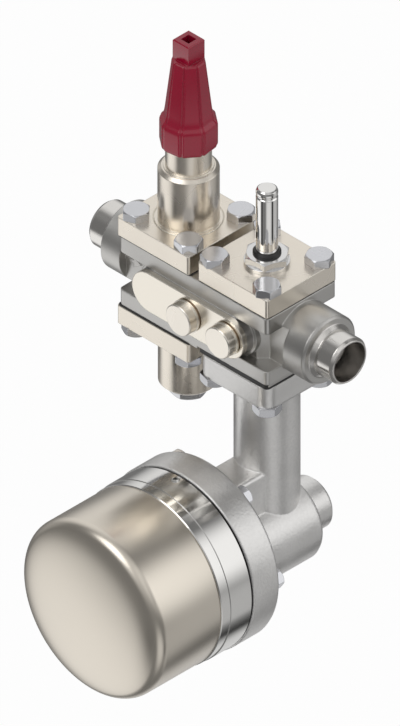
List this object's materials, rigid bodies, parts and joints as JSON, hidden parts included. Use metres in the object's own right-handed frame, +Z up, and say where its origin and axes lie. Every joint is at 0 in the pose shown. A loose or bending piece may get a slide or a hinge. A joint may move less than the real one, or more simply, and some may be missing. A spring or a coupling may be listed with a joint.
{
  "type": "refrigeration valve station",
  "caption": "Inline refrigeration valve station with two weld ends, a capped stop valve, a strainer, a solenoid valve without its coil and a float drain in a round pot.",
  "frame": {"origin": "centre of the inlet weld end's face, on the pipe axis", "axes": "+X along the pipe axis with the flow, +Z up along the stop valve's spindle, -Y towards the side ports and the float pot"},
  "size_m": [0.224, 0.2096, 0.4045],
  "materials": {
    "cast_body": "satin grey cast steel, machined faces at the bores",
    "cast_housing": "fine matte light grey casting",
    "machined_cover": "satin nickel over milled faces",
    "bolt_zinc": "bluish bright zinc",
    "bright_steel": "bright turned steel",
    "drawn_pot": "polished warm nickel",
    "cap_red": "satin dark red",
    "black_rubber": "matte black rubber",
    "fibre_gasket": "dark pressed fibre",
    "copper": "soft annealed copper",
    "brass": "turned brass",
    "seal_plastic": "white low-friction plastic",
    "inner_steel": "plain turned steel"
  },
  "bodies": {
    "station": {"valve_body": "cast_body", "port_plugs": "machined_cover", "port_washers": "copper", "stop_gasket": "fibre_gasket", "stop_seat": "inner_steel", "stop_cover": "machined_cover", "stop_cover_bolts": "bolt_zinc", "spindle_packing": "black_rubber", "gland_nut": "brass", "strainer_gasket": "fibre_gasket", "strainer_cover": "machined_cover", "strainer_bolts": "bolt_zinc", "strainer_screen": "inner_steel", "strainer_plug": "bolt_zinc", "strainer_plug_washer": "copper", "solenoid_gasket": "fibre_gasket", "solenoid_seat": "inner_steel", "solenoid_cover": "machined_cover", "solenoid_bolts": "bolt_zinc", "armature_tube": "bright_steel", "tube_nut": "machined_cover", "tube_bush": "black_rubber", "armature_spring": "inner_steel", "piston_spring": "inner_steel", "float_gasket": "black_rubber", "float_housing": "cast_housing", "float_bolts": "bolt_zinc", "pot_ring": "bright_steel", "pot_bolts": "bolt_zinc", "pot_seal": "black_rubber", "ring_screw": "inner_steel", "float_pot": "drawn_pot", "float_bracket": "inner_steel", "pivot_pin": "inner_steel", "drain_seat": "brass", "rear_plug": "cast_housing", "rear_washer": "fibre_gasket"},
    "cap_carrier": {"cap_gasket": "black_rubber"},
    "cap": {"seal_cap": "cap_red"},
    "stop_disc_unit": {"stop_disc": "inner_steel", "stop_disc_seal": "seal_plastic"},
    "stop_stem": {"spindle": "inner_steel"},
    "armature_unit": {"armature": "inner_steel", "armature_seal": "seal_plastic"},
    "main_piston": {"piston": "inner_steel", "piston_seal": "seal_plastic"},
    "float_lever": {"float_arm": "inner_steel", "float_ball": "inner_steel"},
    "drain_needle": {"drain_valve": "inner_steel"}
  },
  "joints": [
    {"name": "cap_lift", "type": "slide", "parent": "station", "child": "cap_carrier", "axis": [0, 0, 1], "range_m": [0, 0.014]},
    {"name": "cap_turn", "type": "hinge", "parent": "cap_carrier", "child": "cap", "pos_m": [0.076, 0, 0.1], "axis": [0, 0, 1], "range_deg": [0, 2521]},
    {"name": "disc_lift", "type": "slide", "parent": "station", "child": "stop_disc_unit", "axis": [0, 0, 1], "range_m": [0, 0.012]},
    {"name": "stem_turn", "type": "hinge", "parent": "stop_disc_unit", "child": "stop_stem", "pos_m": [0.076, 0, 0.05], "axis": [0, 0, 1], "range_deg": [0, 2161]},
    {"name": "armature_lift", "type": "slide", "parent": "station", "child": "armature_unit", "axis": [0, 0, 1], "range_m": [0, 0.005], "stiffness_N_per_m": 250, "springref_m": -0.01, "deforming": ["armature_spring"]},
    {"name": "piston_lift", "type": "slide", "parent": "station", "child": "main_piston", "axis": [0, 0, 1], "range_m": [0, 0.004], "stiffness_N_per_m": 400, "springref_m": -0.008, "deforming": ["piston_spring"]},
    {"name": "float_swing", "type": "hinge", "parent": "station", "child": "float_lever", "pos_m": [0.148, -0.06, -0.1571], "axis": [-1, 0, 0], "range_deg": [0, 22]},
    {"name": "drain_slide", "type": "slide", "parent": "station", "child": "drain_needle", "axis": [0, -1, 0], "range_m": [0, 0.005]}
  ],
  "couplings": [
    {"joint": "cap_turn", "follows": "cap_lift", "rad_per_m": 3141.6},
    {"joint": "stem_turn", "follows": "disc_lift", "rad_per_m": 3141.6},
    {"joint": "piston_lift", "follows": "armature_lift", "ratio": 0.8},
    {"joint": "drain_slide", "follows": "float_swing", "m_per_rad": 0.012}
  ]
}
